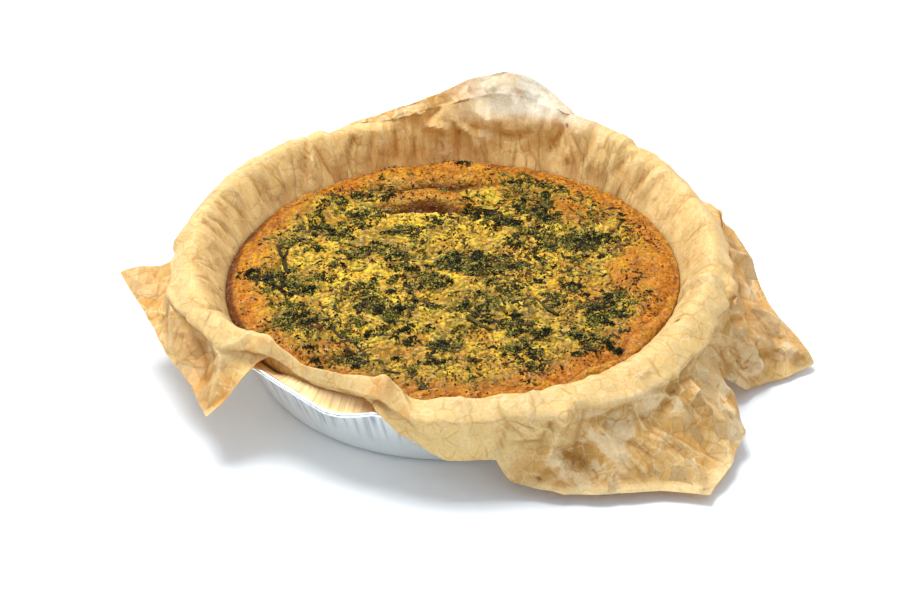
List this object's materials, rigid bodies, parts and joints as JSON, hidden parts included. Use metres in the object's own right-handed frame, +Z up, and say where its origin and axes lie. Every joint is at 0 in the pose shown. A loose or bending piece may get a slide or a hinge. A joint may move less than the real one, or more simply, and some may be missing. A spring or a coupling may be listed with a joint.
{
  "type": "quiche",
  "caption": "Round crustless broccoli quiche, baked in tan baking paper inside a foil tin, with the paper folded out over the rim.",
  "frame": {"origin": "middle of the tin's flat base, on the surface that it stands on", "axes": "+Z up out of the tin, +X to the right and +Y away as seen in the picture"},
  "size_m": [0.3129, 0.2409, 0.0832],
  "materials": {
    "baked_custard": "baked egg custard with broccoli crumbs, golden brown at the rim, slightly moist",
    "baking_paper": "creased tan baking paper, matt with a faint sheen",
    "foil": "pressed and wrinkled foil, satin"
  },
  "bodies": {
    "root": {"quiche": "baked_custard", "baking_paper": "baking_paper", "foil_tin": "foil"}
  },
  "joints": []
}
